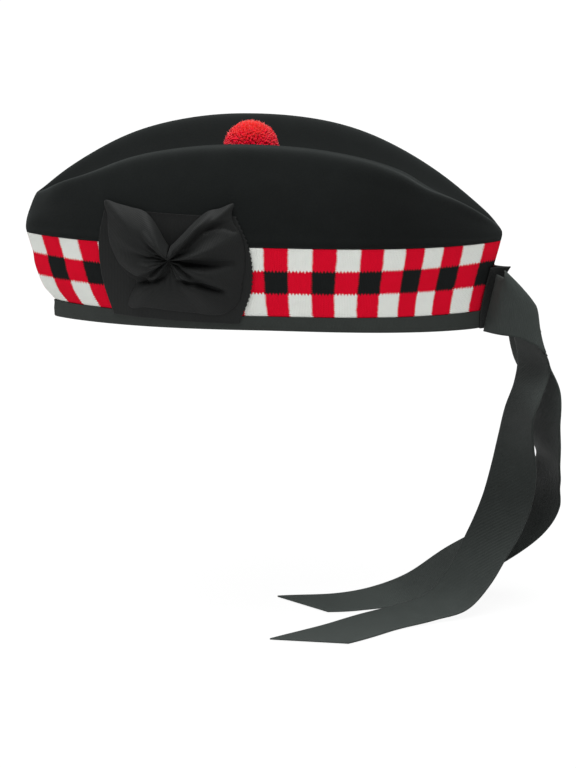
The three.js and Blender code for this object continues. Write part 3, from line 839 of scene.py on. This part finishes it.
def toorie(finish):
    """The pompom: fine strands of cut yarn that lean together in tufts, and loose hairs past them."""
    draw = np.random.default_rng(7)
    yarns = 9000
    hairs = 3000
    tuft_count = 620
    rings = 2
    root_radius = 8.0
    count = yarns + hairs
    spread = np.concatenate([np.full(yarns, 0.02), np.full(hairs, 0.08)])
    way = np.concatenate([even_directions(yarns), even_directions(hairs)])
    way = way + draw.normal(0, 1, (count, 3)) * spread[:, None]
    way /= np.linalg.norm(way, axis=1, keepdims=True)
    tufts = even_directions(tuft_count)
    tuft = np.argmax(way @ tufts.T, axis=1)
    tuft_tone = draw.uniform(0, 1, tuft_count)
    tuft_length = draw.normal(0, 0.11, tuft_count)
    outer = TOORIE_RADIUS - 1.0 + tuft_length[tuft] + draw.normal(0, 0.16, count)
    outer[yarns:] += 0.85
    thickness = np.concatenate([np.full(yarns, 0.42), np.full(hairs, 0.075)])
    lean = (tufts[tuft] - way) * 4.5 + draw.normal(0, 0.25, (count, 3))
    points, faces, reach = strands(way, root_radius, outer, thickness, lean, rings)
    piece = mesh_piece("toorie_yarn", (points + TOORIE_CENTRE) * MM, faces)
    # Painted light: strands that point up lean to the orange red tone, those below to the crimson.
    lit = np.clip(0.95 * way[:, 2] - 0.05, 0, 1)
    tone = np.clip(lit + 0.3 * (tuft_tone[tuft] - 0.5) + 0.25 * draw.uniform(-0.5, 0.5, count), 0, 1)
    pale = np.where(np.arange(count) < yarns, 0.0, 0.5)
    corners = rings * 4
    mark(piece, "reach", reach)
    mark(piece, "tone", np.repeat(tone, corners))
    mark(piece, "pale", np.repeat(pale, corners))
    dress(piece, "toorie", finish)


def floor(level):
    """A wide pale floor under the ends of the tails."""
    mesh = bpy.data.meshes.new("pale_floor")
    side = 8.0
    corners = [(-side, -side, level), (side, -side, level), (side, side, level), (-side, side, level)]
    mesh.from_pydata(corners, [], [(0, 1, 2, 3)])
    piece = bpy.data.objects.new("pale_floor", mesh)
    bpy.context.scene.collection.objects.link(piece)
    material, shader = finish_nodes("pale_floor")
    shader.inputs["Base Color"].default_value = (0.05, 0.0505, 0.05, 1)
    shader.inputs["Roughness"].default_value = 1.0
    shader.inputs["Specular IOR Level"].default_value = 0.0
    shader.inputs["Emission Color"].default_value = (1, 1, 1, 1)
    shader.inputs["Emission Strength"].default_value = 0.94
    mesh.materials.append(material)


def overhead_light(strength, lean_left, lean_front, softness):
    """A wide soft light from above, leaning some degrees to the wearer's left and to the cap's front."""
    data = bpy.data.lights.new("overhead_light", "SUN")
    data.energy = strength
    data.angle = math.radians(softness)
    light = bpy.data.objects.new("overhead_light", data)
    place = np.array([-math.tan(math.radians(lean_front)), -math.tan(math.radians(lean_left)), 1.0])
    light.matrix_world = facing(place, np.zeros(3), 0.0)
    bpy.context.scene.collection.objects.link(light)


def facing(place, aim, roll):
    """The matrix of something at a place that looks at a point, rolled by an angle."""
    forward = (aim - place) / np.linalg.norm(aim - place)
    level = np.cross(forward, (0, 0, 1))
    level /= np.linalg.norm(level)
    upright = np.cross(level, forward)
    right = math.cos(roll) * level + math.sin(roll) * upright
    up = np.cross(right, forward)
    matrix = np.eye(4)
    matrix[:3, 0] = right
    matrix[:3, 1] = up
    matrix[:3, 2] = -forward
    matrix[:3, 3] = place
    return Matrix(matrix.tolist())


def camera():
    """The camera at the photograph's angle: facing the wearer's left from a little above."""
    distance = 3.0
    picture_height = 768 * 0.00061
    elevation = math.radians(14.6)
    aim = np.array([0.01464, 0.0, -0.046])
    place = aim - distance * np.array([0, math.cos(elevation), -math.sin(elevation)])
    data = bpy.data.cameras.new("camera")
    data.sensor_width = 36.0
    data.lens = data.sensor_width * distance / picture_height
    data.clip_end = 50.0
    viewer = bpy.data.objects.new("camera", data)
    viewer.matrix_world = facing(place, aim, math.radians(1.0))
    bpy.context.scene.collection.objects.link(viewer)
    bpy.context.scene.camera = viewer


def studio():
    """Plain soft light: a wide light overhead and a pale room."""
    overhead_light(6.6, 11.5, 4, 60)
    world = bpy.data.worlds.new("pale_room")
    world.use_nodes = True
    background = world.node_tree.nodes["Background"]
    background.inputs["Color"].default_value = (1, 1, 1, 1)
    background.inputs["Strength"].default_value = 0.15
    bpy.context.scene.world = world
    bpy.context.scene.view_settings.view_transform = "Standard"


camera()
studio()
floor(-0.1853)

bow_ribbon = ribbon_finish("bow_ribbon", (0.0052, 0.0057, 0.0055, 1), (0.0115, 0.0126, 0.0123, 1), 0.025)
edge_ribbon = ribbon_finish("edge_ribbon", (0.0175, 0.0208, 0.0186, 1), (0.033, 0.0385, 0.0355, 1), 0.03)
tail_ribbon = ribbon_finish("tail_ribbon", (0.017, 0.0205, 0.019, 1), (0.033, 0.039, 0.0365, 1), 0.04)

crown(felt_finish())
diced_band(knit_finish())
edge_binding(edge_ribbon)
cockade_base(bow_ribbon)
cockade_bow(bow_ribbon)
back_tie(bow_ribbon)
tail("tail_near_ribbon", "tail_near", TAIL_NEAR, NEAR_SHADES, tail_ribbon)
tail("tail_far_ribbon", "tail_far", TAIL_FAR, FAR_SHADES, tail_ribbon)
toorie(yarn_finish())
